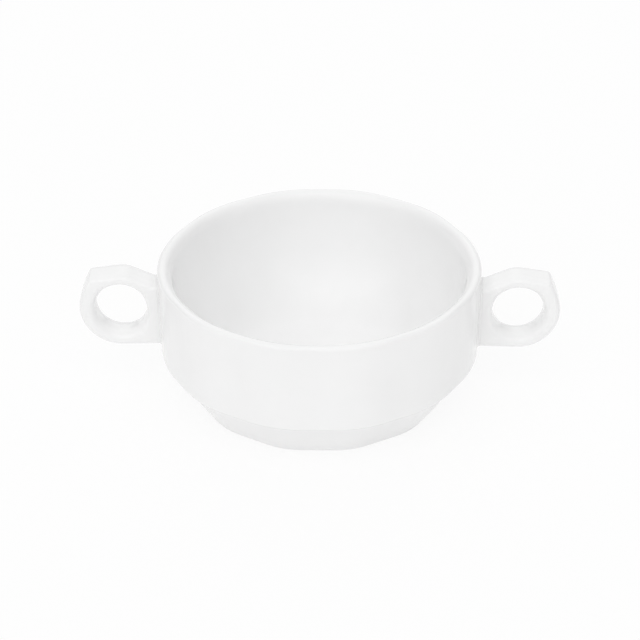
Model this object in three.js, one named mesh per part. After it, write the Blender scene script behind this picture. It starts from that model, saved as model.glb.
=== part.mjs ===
// A stackable two-handled soup cup of glazed porcelain, in millimetres, +Z up.
// The cup stands on its foot ring at z = 0, and its handles lie along the X axis.

import * as THREE from 'three';

// Wall and base, twelve-sided outside
const FACETS = 12;
const WALL_ARRIS_RADIUS = 38;
const BASE_ARRIS_RADIUS = 22;
const RIM_ACROSS_FLATS = 108;
const WALL_HEIGHT = 32.1;
const WALL_DRAFT = 0.4;
const SHOULDER_EDGE = 0.5;
const SHOULDER_WIDTH = 4.7;
const SHOULDER_FILLET = 0.8;
const BASE_HEIGHT = 15.2;
const BASE_TAPER = 5.9;
const FOOT_EDGE = 0.8;
const FOOT_WIDTH = 4;
const FOOT_RECESS = 2;

// Lip and inside of the bowl
const LIP_THICKNESS = 2.6;
const LIP_HEIGHT = 1.3;
const FLOOR_THICKNESS = 4.5;
const FLOOR_FLAT_RADIUS = 18;
const BOWL_CURVE_HEIGHT = 31;
const INSIDE_DRAFT = 5.5;

// Handles: a ring round a finger hole, with a peaked thumb rest on top
const HOLE_WIDTH = 17.5;
const ROOT_BAR = 4.3;
const OUTER_BAR = 5.5;
const TOP_BAR = 4.5;
const BOTTOM_BAR = 5;
const HANDLE_THICKNESS = 10.2;
const HANDLE_EDGE = 0.7;
const HANDLE_FOOT_GAP = 0.1;
const ROOT_DROP = 4.4;
const THUMB_DROP = 2.5;
const THUMB_FALL = 2.1;
const THUMB_PEAK_OFFSET = 1.5;
const THUMB_SETBACK = 3.6;
const KNEE_RISE = 4.5;
const ROOT_BLEND = 2;

// How far the edges round off towards an oval section, from 0 to 1
const HOLE_ROUNDNESS = 0.7;
const ROOT_ROUNDNESS = 0;
const RISE_ROUNDNESS = 0.5;
const PEAK_ROUNDNESS = 0.4;
const CORNER_ROUNDNESS = 0.15;
const WIDEST_ROUNDNESS = 0.6;
const LOWEST_ROUNDNESS = 0.9;
const UNDERSIDE_ROUNDNESS = 0.85;

// Slip joint between handle and wall
const SLIP_THICKNESS = 0.8;
const SLIP_FILLET = 0.6;
const SLIP_CLEARANCE = 0.05;

// How finely round shapes are divided
const STEPS_PER_FACET = 6;
const LIP_STEPS = 6;
const BOWL_STEPS = 10;
const EDGE_STEPS = 2;
const ROOT_STEPS = 8;
const BLEND_STEPS = 2;
const RISE_STEPS = 4;
const THUMB_STEPS = 4;
const KNEE_STEPS = 5;
const RING_STEPS = 9;
const UNDERSIDE_STEPS = 3;

// Heights of the cup, and half widths and radii from its axis
const RIM_Z = BASE_HEIGHT + WALL_HEIGHT;
const LIP_Z = RIM_Z - LIP_HEIGHT;
const FLOOR_Z = FOOT_RECESS + FLOOR_THICKNESS;
const RIM_APOTHEM = RIM_ACROSS_FLATS / 2;
const WALL_FOOT_APOTHEM = RIM_APOTHEM - WALL_DRAFT;
const BASE_TOP_APOTHEM = WALL_FOOT_APOTHEM - SHOULDER_WIDTH;
const FOOT_APOTHEM = BASE_TOP_APOTHEM - BASE_TAPER;
const FOOT_INNER_RADIUS = FOOT_APOTHEM - FOOT_EDGE - FOOT_WIDTH;
const LIP_INNER_RADIUS = RIM_APOTHEM - LIP_THICKNESS;

// Heights of the right handle, and its reach along X
const HANDLE_FOOT_Z = BASE_HEIGHT + SHOULDER_EDGE + HANDLE_FOOT_GAP + SLIP_FILLET;
const THUMB_PEAK_Z = RIM_Z - THUMB_DROP;
const ROOT_TOP_Z = THUMB_PEAK_Z - ROOT_DROP;
const HOLE_HEIGHT = THUMB_PEAK_Z - TOP_BAR - BOTTOM_BAR - HANDLE_FOOT_Z;
const HOLE_Z = HANDLE_FOOT_Z + BOTTOM_BAR + HOLE_HEIGHT / 2;
const HOLE_X = rootX(HANDLE_FOOT_Z) + ROOT_BAR + HOLE_WIDTH / 2;
const RING_REACH = HOLE_WIDTH / 2 + OUTER_BAR;
const RING_DROP = HOLE_HEIGHT / 2 + BOTTOM_BAR;

const porcelain = new THREE.MeshStandardMaterial({ color: 0xf3f3f1, roughness: 0.12, metalness: 0 });
const slip = new THREE.MeshStandardMaterial({ color: 0xf1f1ee, roughness: 0.16, metalness: 0 });

// Half the width across the flats of the outer wall at a height
function wallApothem(z) {
  const share = (z - BASE_HEIGHT) / (LIP_Z - BASE_HEIGHT);
  return WALL_FOOT_APOTHEM + WALL_DRAFT * share;
}

// The handle's root follows the draft of the wall, outside the slip
function rootX(z) {
  return wallApothem(z) + SLIP_THICKNESS + 2 * SLIP_CLEARANCE;
}

// Distance from the axis to a polygon with rounded arrises, at an angle from a flat's middle
function facetRadius(apothem, arrisRadius, angle) {
  const step = (2 * Math.PI) / FACETS;
  const half = step / 2;
  const fromFlat = Math.abs(angle - step * Math.round(angle / step));
  const fromArris = half - fromFlat;
  const arcStart = half - Math.atan2((apothem - arrisRadius) * Math.tan(half), apothem);
  if (fromArris > arcStart) return apothem / Math.cos(fromFlat);
  const arcCentre = (apothem - arrisRadius) / Math.cos(half);
  const side = arcCentre * Math.sin(fromArris);
  return arcCentre * Math.cos(fromArris) + Math.sqrt(arrisRadius ** 2 - side ** 2);
}

// A level ring of points whose distance from the axis is a function of the angle
function ringAt(z, radiusAt) {
  const count = FACETS * STEPS_PER_FACET;
  const ring = [];
  for (let i = 0; i < count; i += 1) {
    const angle = (2 * Math.PI * i) / count;
    const radius = radiusAt(angle);
    ring.push(new THREE.Vector3(radius * Math.cos(angle), radius * Math.sin(angle), z));
  }
  return ring;
}

function wallRing(apothem, z) {
  return ringAt(z, (angle) => facetRadius(apothem, WALL_ARRIS_RADIUS, angle));
}

function baseRing(apothem, z) {
  return ringAt(z, (angle) => facetRadius(apothem, BASE_ARRIS_RADIUS, angle));
}

function roundRing(radius, z) {
  return ringAt(z, () => radius);
}

function middle(ring) {
  const sum = ring.reduce((total, point) => total.add(point), new THREE.Vector3());
  return sum.divideScalar(ring.length);
}

// A closed surface over rings of equal length, which either meet end to end or are capped
function skin(rings, meetsItself) {
  const count = rings[0].length;
  const points = rings.flat();
  const triangles = [];
  const bands = meetsItself ? rings.length : rings.length - 1;
  for (let r = 0; r < bands; r += 1) {
    const lower = r * count;
    const upper = ((r + 1) % rings.length) * count;
    for (let i = 0; i < count; i += 1) {
      const j = (i + 1) % count;
      triangles.push(lower + i, lower + j, upper + j);
      triangles.push(lower + i, upper + j, upper + i);
    }
  }
  if (!meetsItself) {
    const last = (rings.length - 1) * count;
    const firstCap = points.length;
    const lastCap = firstCap + 1;
    points.push(middle(rings[0]), middle(rings[rings.length - 1]));
    for (let i = 0; i < count; i += 1) {
      const j = (i + 1) % count;
      triangles.push(firstCap, j, i);
      triangles.push(lastCap, last + i, last + j);
    }
  }
  const geometry = new THREE.BufferGeometry().setFromPoints(points);
  geometry.setIndex(triangles);
  geometry.computeVertexNormals();
  return geometry;
}

// The bowl in one piece, from the middle of its underside out, up and back in to its floor
function cupBody() {
  const wallFootZ = BASE_HEIGHT + SHOULDER_EDGE;
  const rings = [
    roundRing(FOOT_INNER_RADIUS - FOOT_RECESS, FOOT_RECESS),
    roundRing(FOOT_INNER_RADIUS, 0),
    baseRing(FOOT_APOTHEM - FOOT_EDGE, 0),
    baseRing(FOOT_APOTHEM, FOOT_EDGE),
    baseRing(BASE_TOP_APOTHEM, BASE_HEIGHT - SHOULDER_FILLET),
    baseRing(BASE_TOP_APOTHEM + SHOULDER_FILLET, BASE_HEIGHT),
    wallRing(WALL_FOOT_APOTHEM - SHOULDER_EDGE, BASE_HEIGHT),
    wallRing(wallApothem(wallFootZ), wallFootZ),
    ...lipRings(),
    ...bowlRings(),
  ];
  return skin(rings, false);
}

// The lip rolls from the twelve-sided outside over to the round inside
function lipRings() {
  const rings = [];
  for (let i = 0; i <= LIP_STEPS; i += 1) {
    const turn = (Math.PI * i) / LIP_STEPS;
    const inward = (1 - Math.cos(turn)) / 2;
    const lipRadius = (angle) => {
      const outside = facetRadius(RIM_APOTHEM, WALL_ARRIS_RADIUS, angle);
      return THREE.MathUtils.lerp(outside, LIP_INNER_RADIUS, inward);
    };
    rings.push(ringAt(LIP_Z + LIP_HEIGHT * Math.sin(turn), lipRadius));
  }
  return rings;
}

// Inside, the wall leans in from the lip and runs in one curve into the flat floor.
// The draft is how far the wall's line has leant in where it would reach the floor.
function bowlRings() {
  const lip = new THREE.Vector2(LIP_INNER_RADIUS, LIP_Z);
  const corner = new THREE.Vector2(LIP_INNER_RADIUS - INSIDE_DRAFT, FLOOR_Z);
  const curveStart = corner.clone().lerp(lip, BOWL_CURVE_HEIGHT / (LIP_Z - FLOOR_Z));
  const curveEnd = new THREE.Vector2(FLOOR_FLAT_RADIUS, FLOOR_Z);
  const curve = new THREE.QuadraticBezierCurve(curveStart, corner, curveEnd);
  return curve.getPoints(BOWL_STEPS).map((point) => roundRing(point.x, point.y));
}

// The handle's outline seen from the front, as runs that start at the foot of the root.
// Each run says how it is divided, and how round its outer edges are at its start and end.
function handleRuns() {
  const rootFoot = new THREE.Vector2(rootX(HANDLE_FOOT_Z), HANDLE_FOOT_Z);
  const rootTop = new THREE.Vector2(rootX(ROOT_TOP_Z), ROOT_TOP_Z);
  const peak = new THREE.Vector2(HOLE_X - THUMB_PEAK_OFFSET, THUMB_PEAK_Z);
  const corner = new THREE.Vector2(HOLE_X + RING_REACH - THUMB_SETBACK, THUMB_PEAK_Z - THUMB_FALL);
  const knee = new THREE.Vector2(HOLE_X + RING_REACH, HOLE_Z + KNEE_RISE);
  const widest = new THREE.Vector2(HOLE_X + RING_REACH, HOLE_Z);
  const lowest = new THREE.Vector2(HOLE_X, HOLE_Z - RING_DROP);
  const outerSide = new THREE.QuadraticBezierCurve(corner, knee, widest);
  const lowerRing = new THREE.EllipseCurve(HOLE_X, HOLE_Z, RING_REACH, RING_DROP, 0, -Math.PI / 2, true);
  const rise = stepTowards(rootTop, peak, ROOT_BLEND);
  const underside = stepTowards(rootFoot, lowest, ROOT_BLEND);
  const run = (curve, steps, from, to) => ({ curve, steps, from, to });
  return [
    run(new THREE.LineCurve(rootFoot, rootTop), ROOT_STEPS, ROOT_ROUNDNESS, ROOT_ROUNDNESS),
    run(new THREE.LineCurve(rootTop, rise), BLEND_STEPS, ROOT_ROUNDNESS, RISE_ROUNDNESS),
    run(new THREE.LineCurve(rise, peak), RISE_STEPS, RISE_ROUNDNESS, PEAK_ROUNDNESS),
    run(new THREE.LineCurve(peak, corner), THUMB_STEPS, PEAK_ROUNDNESS, CORNER_ROUNDNESS),
    run(outerSide, KNEE_STEPS, CORNER_ROUNDNESS, WIDEST_ROUNDNESS),
    run(lowerRing, RING_STEPS, WIDEST_ROUNDNESS, LOWEST_ROUNDNESS),
    run(new THREE.LineCurve(lowest, underside), UNDERSIDE_STEPS, LOWEST_ROUNDNESS, UNDERSIDE_ROUNDNESS),
    run(new THREE.LineCurve(underside, rootFoot), BLEND_STEPS, UNDERSIDE_ROUNDNESS, ROOT_ROUNDNESS),
  ];
}

// The point at a distance from one point on the way to another
function stepTowards(start, end, distance) {
  return start.clone().lerp(end, distance / start.distanceTo(end));
}

// The point of the finger hole's edge that faces a point of the outline
function holePoint(outer) {
  const turn = Math.atan2((outer.y - HOLE_Z) / HOLE_HEIGHT, (outer.x - HOLE_X) / HOLE_WIDTH);
  const x = HOLE_X + (HOLE_WIDTH / 2) * Math.cos(turn);
  const z = HOLE_Z + (HOLE_HEIGHT / 2) * Math.sin(turn);
  return new THREE.Vector2(x, z);
}

// A section through the ring: a box with rounded edges between the hole and the outline
function handleSection(outer, outerRoundness) {
  const inner = holePoint(outer);
  const halfDepth = inner.distanceTo(outer) / 2;
  const halfThickness = HANDLE_THICKNESS / 2;
  const edges = [
    { along: 1, across: -1, roundness: outerRoundness },
    { along: -1, across: -1, roundness: HOLE_ROUNDNESS },
    { along: -1, across: 1, roundness: HOLE_ROUNDNESS },
    { along: 1, across: 1, roundness: outerRoundness },
  ];
  const section = [];
  for (const { along, across, roundness } of edges) {
    const radiusAlong = THREE.MathUtils.lerp(HANDLE_EDGE, halfDepth, roundness);
    const radiusAcross = THREE.MathUtils.lerp(HANDLE_EDGE, halfThickness, roundness);
    const startsOnFace = along * across < 0;
    for (let i = 0; i <= EDGE_STEPS; i += 1) {
      const share = startsOnFace ? i / EDGE_STEPS : 1 - i / EDGE_STEPS;
      const turn = (Math.PI / 2) * share;
      const depth = along * (halfDepth - radiusAlong * (1 - Math.cos(turn)));
      const y = across * (halfThickness - radiusAcross * (1 - Math.sin(turn)));
      const point = inner.clone().lerp(outer, (halfDepth + depth) / (2 * halfDepth));
      section.push(new THREE.Vector3(point.x, y, point.y));
    }
  }
  return section;
}

function handle() {
  const sections = [];
  for (const { curve, steps, from, to } of handleRuns()) {
    for (let i = 0; i < steps; i += 1) {
      const share = i / steps;
      const roundness = THREE.MathUtils.lerp(from, to, share);
      sections.push(handleSection(curve.getPoint(share), roundness));
    }
  }
  return skin(sections, true);
}

// The slip is as large as the root where it meets the handle, and spreads out on the wall
function slipJoint() {
  const layers = [
    { spread: SLIP_FILLET, offset: SLIP_CLEARANCE },
    { spread: 0, offset: SLIP_CLEARANCE + SLIP_THICKNESS },
  ];
  const rings = layers.map(({ spread, offset }) => {
    const side = HANDLE_THICKNESS / 2 + spread;
    const foot = HANDLE_FOOT_Z - spread;
    const top = ROOT_TOP_Z + spread;
    const outline = [[-side, foot], [side, foot], [side, top], [-side, top]];
    return outline.map(([y, z]) => new THREE.Vector3(wallApothem(z) + offset, y, z));
  });
  return skin(rings, false);
}

function piece(name, geometry, material) {
  const mesh = new THREE.Mesh(geometry, material);
  mesh.name = name;
  return mesh;
}

// Both handles are one casting, and the left one is turned half round
const cup = new THREE.Group();
cup.add(piece('cup_body', cupBody(), porcelain));
for (const { side, turn } of [{ side: 'right', turn: 0 }, { side: 'left', turn: Math.PI }]) {
  const arm = new THREE.Group();
  arm.rotation.z = turn;
  arm.add(piece(`handle_${side}`, handle(), porcelain));
  arm.add(piece(`slip_joint_${side}`, slipJoint(), slip));
  cup.add(arm);
}

export default cup;
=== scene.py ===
"""Looks of the stackable soup cup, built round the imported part.

Shapes are written in millimetres with the part's own measures, and placed in metres.
"""

import math

import bmesh
import bpy
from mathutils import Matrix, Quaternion, Vector


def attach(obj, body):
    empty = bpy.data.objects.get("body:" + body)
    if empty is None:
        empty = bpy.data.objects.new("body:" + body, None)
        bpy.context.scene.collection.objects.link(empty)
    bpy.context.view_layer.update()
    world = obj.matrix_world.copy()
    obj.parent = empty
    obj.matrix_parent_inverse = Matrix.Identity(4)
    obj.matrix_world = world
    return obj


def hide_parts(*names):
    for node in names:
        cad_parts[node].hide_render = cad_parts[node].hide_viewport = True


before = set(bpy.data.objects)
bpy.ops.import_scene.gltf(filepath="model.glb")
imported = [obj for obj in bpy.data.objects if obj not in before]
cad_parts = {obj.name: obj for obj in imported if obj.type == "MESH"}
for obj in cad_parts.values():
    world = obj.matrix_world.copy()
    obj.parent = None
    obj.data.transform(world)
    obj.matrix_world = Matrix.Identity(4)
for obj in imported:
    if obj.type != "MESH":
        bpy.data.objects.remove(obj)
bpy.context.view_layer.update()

MM = 0.001

# Wall and base, twelve-sided outside
FACETS = 12
WALL_ARRIS_RADIUS = 38
BASE_ARRIS_RADIUS = 22
RIM_ACROSS_FLATS = 108
WALL_HEIGHT = 32.1
WALL_DRAFT = 0.4
SIDE_ARCH = 0.75
SHOULDER_EDGE = 0.5
SHOULDER_EDGE_RADIUS = 0.8
SHOULDER_WIDTH = 4.7
SHOULDER_FILLET = 1.0
BASE_HEIGHT = 15.2
BASE_TAPER = 5.9
FOOT_EDGE = 0.8
FOOT_EDGE_RADIUS = 1.2
FOOT_WIDTH = 4
FOOT_INNER_EDGE = 0.6
FOOT_RECESS = 2
RECESS_FILLET = 1.4
UNDERSIDE_CENTRE = 1.0
BARE_HEIGHT = 0.2

# Lip and inside of the bowl
LIP_THICKNESS = 2.6
LIP_HEIGHT = 1.3
LIP_INNER_DROP = 5.0
LIP_INNER_WIDTH = 3.0
FLOOR_THICKNESS = 4.5
FLOOR_FLAT_RADIUS = 18
INSIDE_LEAN = 0.12

# Handles: a ring round a finger hole, with a peaked thumb rest on top
HOLE_WIDTH = 17.5
ROOT_BAR = 3.55
OUTER_BAR = 5.5
TOP_BAR = 4.5
BOTTOM_BAR = 5
HANDLE_THICKNESS = 10.2
HANDLE_EDGE = 0.7
HANDLE_FOOT_GAP = 0.1
ROOT_DROP = 4.4
ROOT_SINK = 2.9
ROOT_END = 0.8
ROOT_LEVEL = 0.45
THUMB_DROP = 2.5
THUMB_FALL = 2.1
THUMB_PEAK_OFFSET = 1.5
THUMB_PEAK_REACH = 2.6
THUMB_SETBACK = 3.6
KNEE_RISE = 4.5
CORNER_SOFTNESS = 0.9

# How far the edges round off towards an oval section, from 0 to 1
HOLE_ROUNDNESS = 0.7
ROOT_ROUNDNESS = 0
RISE_ROUNDNESS = 0.6
PEAK_ROUNDNESS = 0.65
CORNER_ROUNDNESS = 0.4
WIDEST_ROUNDNESS = 0.5
LOWEST_ROUNDNESS = 0.9
UNDERSIDE_ROUNDNESS = 0.85

# Slip joint between handle and wall
SLIP_THICKNESS = 0.8
SLIP_FILLET = 0.6
SLIP_CLEARANCE = 0.05
SLIP_SPREAD = 1.2
SLIP_SINK = 0.3
SLIP_BITE = 0.15

# How finely shapes are divided, as counts and as steps in millimetres
STEPS_PER_FACET = 24
ARC_STEPS = 7
LIP_STEPS = 12
BOWL_STEPS = 60
PROFILE_STEP = 1.3
SUPPORT_STEP = 0.12
OUTLINE_STEP = 0.3
TRIAL_STEPS = 32
EDGE_STEPS = 8
SIDE_STEPS = 10
SLIP_STEPS = 10
SLIP_POINTS = 200

# Heights of the cup, and half widths and radii from its axis
RIM_Z = BASE_HEIGHT + WALL_HEIGHT
LIP_Z = RIM_Z - LIP_HEIGHT
FLOOR_Z = FOOT_RECESS + FLOOR_THICKNESS
RIM_APOTHEM = RIM_ACROSS_FLATS / 2
WALL_FOOT_APOTHEM = RIM_APOTHEM - WALL_DRAFT
BASE_TOP_APOTHEM = WALL_FOOT_APOTHEM - SHOULDER_WIDTH
FOOT_APOTHEM = BASE_TOP_APOTHEM - BASE_TAPER
FOOT_INNER_RADIUS = FOOT_APOTHEM - FOOT_EDGE - FOOT_WIDTH
WALL_SLOPE = WALL_DRAFT / (LIP_Z - BASE_HEIGHT)
SLIP_REACH = SLIP_THICKNESS + 2 * SLIP_CLEARANCE

# Where the inner side of the lip has come to the lean of the inside wall
LIP_TURN = math.pi - math.atan(INSIDE_LEAN * LIP_INNER_DROP / LIP_INNER_WIDTH)
LIP_END_Z = RIM_Z - LIP_INNER_DROP * (1 - math.sin(LIP_TURN))


def wall_apothem(z):
    """Half the width across the flats of the outer wall at a height."""
    return WALL_FOOT_APOTHEM + WALL_SLOPE * (z - BASE_HEIGHT)


def seat_x(y, z):
    """Where the arched side of the wall stands that carries the right handle."""
    return wall_apothem(z) + SIDE_ARCH - y * y / RIM_ACROSS_FLATS


def root_x(z):
    """Where the handle's root stands, outside the slip."""
    return seat_x(0, z) + SLIP_REACH


# Heights of the right handle, and its reach along X
HANDLE_FOOT_Z = BASE_HEIGHT + SHOULDER_EDGE + HANDLE_FOOT_GAP + SLIP_FILLET
THUMB_PEAK_Z = RIM_Z - THUMB_DROP
ROOT_TOP_Z = THUMB_PEAK_Z - ROOT_DROP
HOLE_HEIGHT = THUMB_PEAK_Z - TOP_BAR - BOTTOM_BAR - HANDLE_FOOT_Z
HOLE_Z = HANDLE_FOOT_Z + BOTTOM_BAR + HOLE_HEIGHT / 2
HOLE_X = root_x(HANDLE_FOOT_Z) + ROOT_BAR + HOLE_WIDTH / 2
RING_REACH = HOLE_WIDTH / 2 + OUTER_BAR
RING_DROP = HOLE_HEIGHT / 2 + BOTTOM_BAR


def lerp(start, end, share):
    return start + (end - start) * share


def ease(share):
    share = min(max(share, 0.0), 1.0)
    return share * share * (3 - 2 * share)


# Curves, as functions from a share of their way to a point

def straight(start, end):
    return lambda share: start.lerp(end, share)


def arc_by_corner(start, corner, end):
    return lambda share: start.lerp(corner, share).lerp(corner.lerp(end, share), share)


def step_towards(start, end, distance):
    return start.lerp(end, distance / (end - start).length)


# Meshes

def mesh_object(name, points, faces, materials, face_material=None, flat_faces=0):
    """A smooth mesh, apart from its last faces, which may be flat caps."""
    mesh = bpy.data.meshes.new(name)
    mesh.from_pydata([Vector(p) * MM for p in points], [], faces)
    for material in materials:
        mesh.materials.append(material)
    for polygon in mesh.polygons:
        polygon.use_smooth = polygon.index < len(faces) - flat_faces
        if face_material:
            polygon.material_index = face_material(polygon.center / MM)
    mesh.validate()
    mesh.update()
    piece = bpy.data.objects.new(name, mesh)
    bpy.context.scene.collection.objects.link(piece)
    return piece


def loft(rings, meets_itself):
    """Points and faces of a closed surface over rings of equal length, with any caps last."""
    count = len(rings[0])
    points = [tuple(point) for ring in rings for point in ring]
    faces = []
    bands = len(rings) if meets_itself else len(rings) - 1
    for r in range(bands):
        lower = r * count
        upper = (r + 1) % len(rings) * count
        for i in range(count):
            j = (i + 1) % count
            faces.append((lower + i, lower + j, upper + j, upper + i))
    if not meets_itself:
        for ring, first, flip in ((rings[0], 0, True), (rings[-1], len(points) - count, False)):
            middle = sum((Vector(point) for point in ring), Vector()) / count
            points.append(tuple(middle))
            for i in range(count):
                j = (i + 1) % count
                pair = (first + j, first + i) if flip else (first + i, first + j)
                faces.append((len(points) - 1, *pair))
    return points, faces


def rounded_path(corners):
    """Points along a line through corners, each given as across, height and the radius of its bend."""
    bends = []
    for i, (across, height, radius) in enumerate(corners):
        here = Vector((across, height))
        if radius == 0:
            bends.append([here])
            continue
        to_last = (Vector(corners[i - 1][:2]) - here).normalized()
        to_next = (Vector(corners[i + 1][:2]) - here).normalized()
        half = to_last.angle(to_next) / 2
        centre = here + (to_last + to_next).normalized() * radius / math.sin(half)
        start = here + to_last * radius / math.tan(half) - centre
        end = here + to_next * radius / math.tan(half) - centre
        turn = start.angle(end)
        bend = []
        for k in range(ARC_STEPS + 1):
            share = k / ARC_STEPS
            spoke = (start * math.sin((1 - share) * turn) + end * math.sin(share * turn)) / math.sin(turn)
            bend.append(centre + spoke)
        bends.append(bend)
    path = []
    for bend, following in zip(bends, bends[1:]):
        path.extend(bend)
        start, end = bend[-1], following[0]
        length = (end - start).length
        inside = [SUPPORT_STEP, length - SUPPORT_STEP]
        count = int(length / PROFILE_STEP)
        inside += [length * k / count for k in range(1, count)]
        path.extend(start.lerp(end, step / length) for step in sorted(inside))
    path.extend(bends[-1])
    return path


# The bowl

def facet_radius(apothem, arris_radius, angle):
    """Distance from the axis to a polygon with rounded arrises, at an angle from a flat's middle."""
    step = 2 * math.pi / FACETS
    half = step / 2
    from_flat = abs(angle - step * round(angle / step))
    from_arris = half - from_flat
    arc_start = half - math.atan2((apothem - arris_radius) * math.tan(half), apothem)
    if from_arris > arc_start:
        return apothem / math.cos(from_flat)
    arc_centre = (apothem - arris_radius) / math.cos(half)
    side = arc_centre * math.sin(from_arris)
    return arc_centre * math.cos(from_arris) + math.sqrt(arris_radius ** 2 - side ** 2)


def side_arch(angle):
    """How far the two sides that carry the handles arch out from their flats."""
    from_side = abs(angle - math.pi * round(angle / math.pi))
    share = min(1, from_side / (math.pi / FACETS))
    return SIDE_ARCH * math.cos(math.pi / 2 * share) ** 2


def ring_at(z, radius_at):
    count = FACETS * STEPS_PER_FACET
    ring = []
    for i in range(count):
        angle = 2 * math.pi * i / count
        radius = radius_at(angle)
        ring.append((radius * math.cos(angle), radius * math.sin(angle), z))
    return ring


def round_ring(radius, z):
    return ring_at(z, lambda angle: radius)


def outside_ring(across, z):
    """A ring of the outside: round under the foot, then with the base's arrises, then with the wall's."""
    roundness = 1 - ease((across - FOOT_INNER_RADIUS) / FOOT_WIDTH)
    shoulder = ease((across - BASE_TOP_APOTHEM) / SHOULDER_WIDTH)
    arris_radius = lerp(BASE_ARRIS_RADIUS, WALL_ARRIS_RADIUS, shoulder)

    def radius_at(angle):
        flats = lerp(facet_radius(across, arris_radius, angle), across, roundness)
        return flats + shoulder * side_arch(angle)

    return ring_at(z, radius_at)


def outside_rings():
    slope = BASE_TAPER / (BASE_HEIGHT - SHOULDER_FILLET - FOOT_EDGE)
    corners = [
        (UNDERSIDE_CENTRE, FOOT_RECESS, 0),
        (FOOT_INNER_RADIUS - FOOT_RECESS, FOOT_RECESS, RECESS_FILLET),
        (FOOT_INNER_RADIUS, 0, FOOT_INNER_EDGE),
        (FOOT_APOTHEM - slope * FOOT_EDGE, 0, FOOT_EDGE_RADIUS),
        (BASE_TOP_APOTHEM + slope * SHOULDER_FILLET, BASE_HEIGHT, SHOULDER_FILLET),
        (WALL_FOOT_APOTHEM, BASE_HEIGHT, SHOULDER_EDGE_RADIUS),
        (wall_apothem(LIP_Z), LIP_Z, 0),
    ]
    return [outside_ring(across, height) for across, height in rounded_path(corners)]


def lip_inset(turn):
    """How far the lip has come in from the rim, wider over its inner side than over its outer side."""
    across = LIP_THICKNESS / 2 if turn < math.pi / 2 else LIP_INNER_WIDTH
    return LIP_THICKNESS / 2 - across * math.cos(turn)


def lip_rings():
    """The lip rolls from the twelve-sided outside over to the round inside, where it falls off slowly."""
    crest = math.pi / 2
    shares = [i / LIP_STEPS for i in range(1, LIP_STEPS + 1)]
    rings = []
    for turn in [crest * share for share in shares] + [lerp(crest, LIP_TURN, share) for share in shares]:
        inset = lip_inset(turn)
        roundness = (1 - math.cos(turn)) / 2

        def radius_at(angle, inset=inset, roundness=roundness):
            outside = facet_radius(RIM_APOTHEM, WALL_ARRIS_RADIUS, angle) + side_arch(angle)
            return lerp(outside, RIM_APOTHEM, roundness) - inset

        drop = LIP_HEIGHT if turn < crest else LIP_INNER_DROP
        rings.append(ring_at(RIM_Z - drop * (1 - math.sin(turn)), radius_at))
    return rings


def bowl_rings():
    """Inside, the wall leans in from the lip and runs in one curve into the flat floor."""
    lip_end = Vector((RIM_APOTHEM - lip_inset(LIP_TURN), LIP_END_Z))
    corner = Vector((lip_end.x - INSIDE_LEAN * (LIP_END_Z - FLOOR_Z), FLOOR_Z))
    curve = arc_by_corner(lip_end, corner, Vector((FLOOR_FLAT_RADIUS, FLOOR_Z)))
    rings = []
    for i in range(1, BOWL_STEPS + 1):
        point = curve(i / BOWL_STEPS)
        rings.append(round_ring(point.x, point.y))
    floor_steps = round(FLOOR_FLAT_RADIUS / PROFILE_STEP)
    for i in range(1, floor_steps):
        rings.append(round_ring(FLOOR_FLAT_RADIUS * (1 - i / floor_steps), FLOOR_Z))
    return rings


def make_cup(glaze, bare):
    points, faces = loft(outside_rings() + lip_rings() + bowl_rings(), False)

    def face_material(middle):
        """The foot ring is bare where it stands, and the rest is glazed."""
        across = math.hypot(middle.x, middle.y)
        return 1 if middle.z < BARE_HEIGHT and across > FOOT_INNER_RADIUS - FOOT_EDGE else 0

    return mesh_object("cup_bowl", points, faces, [glaze, bare], face_material)


# The handles

def lower_ring(share):
    turn = -math.pi / 2 * share
    return Vector((HOLE_X + RING_REACH * math.cos(turn), HOLE_Z + RING_DROP * math.sin(turn)))


def handle_outline():
    """The outline seen from the front, its root inside the wall, and how round its outer edges are."""
    sunk_x = root_x(HANDLE_FOOT_Z) - ROOT_SINK
    root_foot = Vector((sunk_x, HANDLE_FOOT_Z))
    root_middle = Vector((sunk_x, HOLE_Z))
    root_top = Vector((sunk_x, ROOT_TOP_Z))
    rise = Vector((root_x(ROOT_TOP_Z) + ROOT_LEVEL, ROOT_TOP_Z))
    peak = Vector((HOLE_X - THUMB_PEAK_OFFSET, THUMB_PEAK_Z))
    corner = Vector((HOLE_X + RING_REACH - THUMB_SETBACK, THUMB_PEAK_Z - THUMB_FALL))
    before_peak = step_towards(peak, rise, THUMB_PEAK_REACH)
    after_peak = step_towards(peak, corner, THUMB_PEAK_REACH)
    knee = Vector((HOLE_X + RING_REACH, HOLE_Z + KNEE_RISE))
    widest = Vector((HOLE_X + RING_REACH, HOLE_Z))
    lowest = Vector((HOLE_X, HOLE_Z - RING_DROP))
    runs = [
        (straight(root_foot, root_middle), UNDERSIDE_ROUNDNESS, ROOT_ROUNDNESS),
        (straight(root_middle, root_top), ROOT_ROUNDNESS, RISE_ROUNDNESS),
        (straight(root_top, rise), RISE_ROUNDNESS, RISE_ROUNDNESS),
        (straight(rise, before_peak), RISE_ROUNDNESS, PEAK_ROUNDNESS),
        (arc_by_corner(before_peak, peak, after_peak), PEAK_ROUNDNESS, PEAK_ROUNDNESS),
        (straight(after_peak, corner), PEAK_ROUNDNESS, CORNER_ROUNDNESS),
        (arc_by_corner(corner, knee, widest), CORNER_ROUNDNESS, WIDEST_ROUNDNESS),
        (lower_ring, WIDEST_ROUNDNESS, LOWEST_ROUNDNESS),
        (straight(lowest, root_foot), LOWEST_ROUNDNESS, UNDERSIDE_ROUNDNESS),
    ]
    outline = []
    for curve, round_from, round_to in runs:
        trial = [curve(k / TRIAL_STEPS) for k in range(TRIAL_STEPS + 1)]
        length = sum((b - a).length for a, b in zip(trial, trial[1:]))
        count = max(2, round(length / OUTLINE_STEP))
        for k in range(count):
            outline.append((curve(k / count), lerp(round_from, round_to, k / count)))
    return soften(outline)


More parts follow.
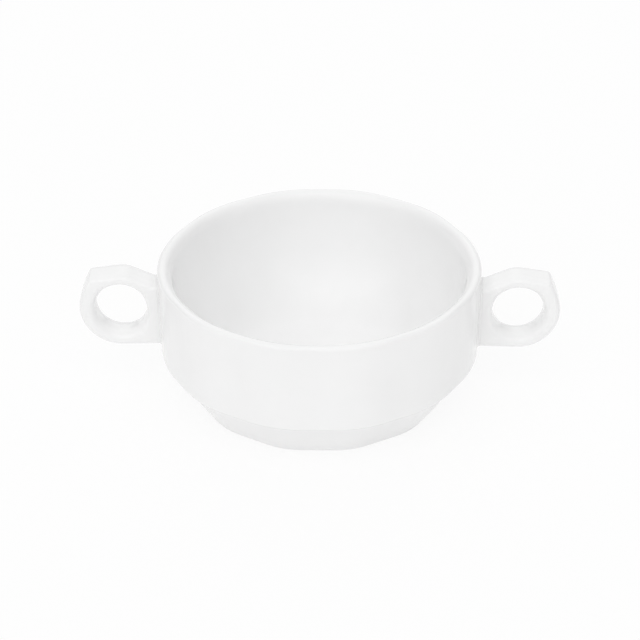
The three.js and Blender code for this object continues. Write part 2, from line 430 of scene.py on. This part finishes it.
def soften(outline):
    """Rounds the corners of the outline, and evens out its roundness."""
    total = len(outline)
    window = round(CORNER_SOFTNESS / OUTLINE_STEP)
    softened = []
    for i in range(total):
        middle = Vector((0, 0))
        roundness = 0
        weight = 0
        for k in range(-window, window + 1):
            share = window + 1 - abs(k)
            point, point_roundness = outline[(i + k) % total]
            middle += point * share
            roundness += point_roundness * share
            weight += share
        softened.append((middle / weight, roundness / weight))
    return softened


def hole_point(outer):
    """The point of the finger hole's edge that faces a point of the outline."""
    turn = math.atan2((outer.y - HOLE_Z) / HOLE_HEIGHT, (outer.x - HOLE_X) / HOLE_WIDTH)
    return Vector((HOLE_X + HOLE_WIDTH / 2 * math.cos(turn), HOLE_Z + HOLE_HEIGHT / 2 * math.sin(turn)))


def handle_section(outer, roundness):
    """A section through the ring: a box with rounded edges between the hole and the outline."""
    inner = hole_point(outer)
    depth = (outer - inner).length
    half_depth = depth / 2
    half_thickness = HANDLE_THICKNESS / 2
    in_view = min(1, (inner.x - root_x(outer.y)) / (inner.x - outer.x)) if outer.x < inner.x else 1
    corners = []
    for along, across, share, half_length in (
        (1, -1, roundness, half_depth),
        (-1, -1, HOLE_ROUNDNESS, half_depth * in_view),
        (-1, 1, HOLE_ROUNDNESS, half_depth * in_view),
        (1, 1, roundness, half_depth),
    ):
        radius_along = lerp(HANDLE_EDGE, half_length, share)
        radius_across = lerp(HANDLE_EDGE, half_thickness, share)
        corner = []
        for k in range(EDGE_STEPS + 1):
            turn = math.pi / 2 * k / EDGE_STEPS
            if along * across > 0:
                turn = math.pi / 2 - turn
            corner.append(Vector((
                along * (half_depth - radius_along * (1 - math.cos(turn))),
                across * (half_thickness - radius_across * (1 - math.sin(turn))),
            )))
        corners.append(corner)
    section = []
    for corner, following in zip(corners, corners[1:] + corners[:1]):
        section.extend(corner)
        section.extend(corner[-1].lerp(following[0], k / SIDE_STEPS) for k in range(1, SIDE_STEPS))
    placed = []
    for position in section:
        point = inner.lerp(outer, (half_depth + position.x) / depth)
        placed.append((point.x, position.y, point.y))
    return placed


def cut_handle():
    """The right handle, cut off inside the wall: its points, its faces with the cut last, and its outline
    where the slip meets it.
    """
    points, faces = loft([handle_section(*station) for station in handle_outline()], True)
    ring = bmesh.new()
    corners = [ring.verts.new(point) for point in points]
    for face in faces:
        ring.faces.new([corners[i] for i in face])
    end = cut_off(ring, seat_x(0, 0) - ROOT_END)
    ring.verts.index_update()
    kept_points = [vert.co.copy() for vert in ring.verts]
    kept_faces = [[vert.index for vert in face.verts] for face in ring.faces]
    kept_faces.append([vert.index for vert in reversed(end)])
    root = [vert.co.copy() for vert in cut_off(ring, root_x(0))]
    ring.free()
    return kept_points, kept_faces, root


def cut_off(ring, x_at_floor):
    """Takes away what is inside a plane that leans with the wall, and gives the cut as a loop of points."""
    whole = ring.verts[:] + ring.edges[:] + ring.faces[:]
    cut = bmesh.ops.bisect_plane(
        ring, geom=whole, plane_co=(x_at_floor, 0, 0), plane_no=(1, 0, -WALL_SLOPE), clear_inner=True,
    )["geom_cut"]
    border = {vert: [] for vert in cut if isinstance(vert, bmesh.types.BMVert)}
    for edge in cut:
        if isinstance(edge, bmesh.types.BMEdge):
            for vert in edge.verts:
                border[vert].append(edge.other_vert(vert))
    loop = [min(border, key=lambda vert: (vert.co.z, vert.co.y))]
    loop.append(max(border[loop[0]], key=lambda vert: vert.co.y))
    while len(loop) < len(border):
        ahead = [vert for vert in border[loop[-1]] if vert is not loop[-2]]
        loop.append(ahead[0])
    return loop


def turned(points, side):
    return [(side * x, side * y, z) for x, y, z in points]


def make_handle(name, side, casting, glaze):
    points, faces, _ = casting
    return mesh_object(name, turned(points, side), faces, [glaze], flat_faces=1)


# The slip joints

def even_loop(loop, count):
    """Points at even steps round a loop."""
    lengths = [(b - a).length for a, b in zip(loop, loop[1:] + loop[:1])]
    step = sum(lengths) / count
    points = []
    side = 0
    passed = 0
    for k in range(count):
        while passed + lengths[side] < k * step:
            passed += lengths[side]
            side += 1
        following = loop[(side + 1) % len(loop)]
        points.append(loop[side].lerp(following, (k * step - passed) / lengths[side]))
    return points


def make_slip(name, side, casting, glaze):
    """The slip starts inside the handle's root and spreads out on the wall, less at its lower end."""
    _, _, root_loop = casting
    root = even_loop(root_loop, SLIP_POINTS)
    outward = []
    for before, after in zip(root[-2:] + root[:-2], root[2:] + root[:2]):
        along = (after - before).normalized()
        outward.append(Vector((0, along.z, -along.y)))
    layers = [(-SLIP_BITE / SLIP_SPREAD, SLIP_REACH + SLIP_BITE)]
    for k in range(SLIP_STEPS + 1):
        turn = math.pi / 2 * k / SLIP_STEPS
        layers.append((1 - math.cos(turn), SLIP_REACH * (1 - math.sin(turn))))
    layers.append((1, -SLIP_SINK))
    rings = []
    for share, offset in layers:
        ring = []
        for point, away in zip(root, outward):
            spread = lerp(SLIP_SPREAD, SLIP_FILLET, max(0, -away.z))
            moved = point + away * spread * share
            ring.append((seat_x(moved.y, moved.z) + offset, moved.y, moved.z))
        rings.append(ring)
    points, faces = loft(rings[::-1], False)
    return mesh_object(name, turned(points, side), faces, [glaze], flat_faces=2 * SLIP_POINTS)


# Materials

class Nodes:
    """Adds nodes to a material or world, and links them."""

    def __init__(self, tree):
        self.tree = tree
        self.tree.nodes.clear()

    def add(self, kind, inputs=None, **settings):
        node = self.tree.nodes.new(kind)
        for key, value in settings.items():
            setattr(node, key, value)
        for key, value in (inputs or {}).items():
            if isinstance(value, bpy.types.NodeSocket):
                self.tree.links.new(value, node.inputs[key])
            else:
                node.inputs[key].default_value = value
        return node

    def math(self, operation, first, second):
        return self.add("ShaderNodeMath", {0: first, 1: second}, operation=operation).outputs[0]


def new_material(name):
    material = bpy.data.materials.new(name)
    material.use_nodes = True
    return material, Nodes(material.node_tree)


def grey(level):
    return (level, level, level, 1)


def make_glaze(name, pale, deep):
    """Clear gloss glaze over white porcelain: faint clouds of tone, and the fine ripple of a fired coat."""
    material, nodes = new_material(name)
    place = nodes.add("ShaderNodeTexCoord").outputs["Object"]
    clouds = nodes.add("ShaderNodeTexNoise", {"Vector": place, "Scale": 45.0, "Detail": 3.0})
    tone = nodes.add("ShaderNodeMapRange", {
        "Value": clouds.outputs["Fac"], "From Min": 0.3, "From Max": 0.7, "To Min": 0.0, "To Max": 1.0,
    })
    colour = nodes.add("ShaderNodeMix", {
        "Factor": tone.outputs["Result"], "A": grey(deep), "B": grey(pale),
    }, data_type="RGBA")
    gloss = nodes.add("ShaderNodeTexNoise", {"Vector": place, "Scale": 160.0, "Detail": 2.0})
    roughness = nodes.add("ShaderNodeMapRange", {
        "Value": gloss.outputs["Fac"], "From Min": 0.3, "From Max": 0.7, "To Min": 0.06, "To Max": 0.13,
    })
    peel = nodes.add("ShaderNodeTexNoise", {"Vector": place, "Scale": 420.0, "Detail": 2.0})
    ripple = nodes.add("ShaderNodeBump", {
        "Height": peel.outputs["Fac"], "Strength": 0.25, "Distance": 0.00006,
    })
    shader = nodes.add("ShaderNodeBsdfPrincipled", {
        "Base Color": colour.outputs[2],
        "Roughness": roughness.outputs["Result"],
        "IOR": 1.5,
        "Normal": ripple.outputs["Normal"],
    })
    nodes.add("ShaderNodeOutputMaterial", {"Surface": shader.outputs["BSDF"]})
    return material


def make_bare(name):
    """Unglazed porcelain, wiped clean and ground flat: matt, warm and finely grained."""
    material, nodes = new_material(name)
    place = nodes.add("ShaderNodeTexCoord").outputs["Object"]
    grain = nodes.add("ShaderNodeTexNoise", {"Vector": place, "Scale": 2200.0, "Detail": 4.0})
    stains = nodes.add("ShaderNodeTexNoise", {"Vector": place, "Scale": 120.0, "Detail": 5.0})
    tone = nodes.add("ShaderNodeMapRange", {
        "Value": stains.outputs["Fac"], "From Min": 0.35, "From Max": 0.7,
    })
    colour = nodes.add("ShaderNodeMix", {
        "Factor": tone.outputs["Result"], "A": (0.80, 0.79, 0.765, 1), "B": (0.70, 0.685, 0.655, 1),
    }, data_type="RGBA")
    rough = nodes.add("ShaderNodeMapRange", {"Value": grain.outputs["Fac"], "To Min": 0.6, "To Max": 0.85})
    bump = nodes.add("ShaderNodeBump", {
        "Height": grain.outputs["Fac"], "Strength": 0.5, "Distance": 0.00008,
    })
    shader = nodes.add("ShaderNodeBsdfPrincipled", {
        "Base Color": colour.outputs[2],
        "Roughness": rough.outputs["Result"],
        "Normal": bump.outputs["Normal"],
    })
    nodes.add("ShaderNodeOutputMaterial", {"Surface": shader.outputs["BSDF"]})
    return material


# The studio, whose patches of light each have a way towards them, a level and a narrowness
FLOOR_HALF = 3.0
FLOOR_WHITE = 0.97
FLOOR_GLOW = 0.85
TABLE_GLOW = 0.3
SKY_LEVEL = 0.36
PATCHES = [
    {"way": (-0.35, -0.6, 0.72), "level": 1.02, "focus": 4},
    {"way": (0.4, -0.6, 0.7), "level": 0.45, "focus": 4},
    {"way": (0.95, 0, 0.3), "level": 0.1, "focus": 4},
    {"way": (0, 0.75, 0.66), "level": 0.87, "focus": 4},
    {"way": (0, -0.26, 0.96), "level": 0.26, "focus": 12},
]


def make_floor():
    """A sheet of milk glass, lit faintly from below, that shows white and keeps a share of the shadow."""
    material, nodes = new_material("studio_floor")
    path = nodes.add("ShaderNodeLightPath")
    seen = nodes.math("MAXIMUM", path.outputs["Is Camera Ray"], path.outputs["Is Glossy Ray"])
    seen = nodes.math("MAXIMUM", seen, path.outputs["Is Transmission Ray"])
    matt = nodes.add("ShaderNodeBsdfDiffuse", {"Color": grey(FLOOR_WHITE)})
    white = nodes.add("ShaderNodeEmission", {"Strength": 1.0})
    mix = nodes.add("ShaderNodeMixShader", {
        0: nodes.math("MAXIMUM", nodes.math("MULTIPLY", seen, FLOOR_GLOW), TABLE_GLOW),
        1: matt.outputs["BSDF"],
        2: white.outputs["Emission"],
    })
    nodes.add("ShaderNodeOutputMaterial", {"Surface": mix.outputs[0]})
    half = FLOOR_HALF / MM
    points = [(-half, -half, 0), (half, -half, 0), (half, half, 0), (-half, half, 0)]
    mesh_object("studio_floor", points, [(0, 1, 2, 3)], [material])


def make_world():
    """Light from all round, with broad soft patches, the strongest of them high at the front left."""
    world = bpy.data.worlds.new("studio")
    bpy.context.scene.world = world
    world.use_nodes = True
    nodes = Nodes(world.node_tree)
    way = nodes.add("ShaderNodeTexCoord").outputs["Generated"]
    level = SKY_LEVEL
    for patch in PATCHES:
        towards = Vector(patch["way"]).normalized()
        facing = nodes.add("ShaderNodeVectorMath", {0: way, 1: towards}, operation="DOT_PRODUCT")
        shape = nodes.math("POWER", nodes.math("MAXIMUM", facing.outputs["Value"], 0.0), patch["focus"])
        level = nodes.math("ADD", nodes.math("MULTIPLY", shape, patch["level"]), level)
    light = nodes.add("ShaderNodeBackground", {"Color": grey(1), "Strength": level})
    nodes.add("ShaderNodeOutputWorld", {"Surface": light.outputs[0]})


# Camera, at the photograph's viewing angle
CAMERA_AIM = Vector((0.00017, 0, 0.02484))
CAMERA_DISTANCE = 0.75
CAMERA_ELEVATION = 31.5
CAMERA_AZIMUTH = 1.25
CAMERA_ROLL = -0.2
CAMERA_FOCUS = 2187.0
IMAGE_WIDTH = 640


def make_camera():
    turn = math.radians(CAMERA_AZIMUTH)
    rise = math.radians(CAMERA_ELEVATION)
    back = Vector((math.sin(turn) * math.cos(rise), -math.cos(turn) * math.cos(rise), math.sin(rise)))
    lens = bpy.data.cameras.new("camera")
    lens.lens = lens.sensor_width * CAMERA_FOCUS / IMAGE_WIDTH
    lens.clip_start = 0.01
    camera = bpy.data.objects.new("camera", lens)
    camera.location = CAMERA_AIM + back * CAMERA_DISTANCE
    camera.rotation_mode = "QUATERNION"
    roll = Quaternion((0, 0, 1), math.radians(CAMERA_ROLL))
    camera.rotation_quaternion = (-back).to_track_quat("-Z", "Y") @ roll
    bpy.context.scene.collection.objects.link(camera)
    bpy.context.scene.camera = camera


make_camera()
make_floor()
make_world()

porcelain = make_glaze("glazed_porcelain", 0.95, 0.93)
slip = make_glaze("glazed_slip", 0.94, 0.92)
bisque = make_bare("bare_porcelain")

right_handle = cut_handle()
pieces = [
    (make_cup(porcelain, bisque), "cup_body", "glazed_porcelain"),
    (make_handle("ring_handle_right", 1, right_handle, porcelain), "handle_right", "glazed_porcelain"),
    (make_handle("ring_handle_left", -1, right_handle, porcelain), "handle_left", "glazed_porcelain"),
    (make_slip("slip_fillet_right", 1, right_handle, slip), "slip_joint_right", "glazed_slip"),
    (make_slip("slip_fillet_left", -1, right_handle, slip), "slip_joint_left", "glazed_slip"),
]
for piece, node, slot in pieces:
    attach(piece, "root")
    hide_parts(node)

bpy.context.scene.view_settings.view_transform = "Standard"
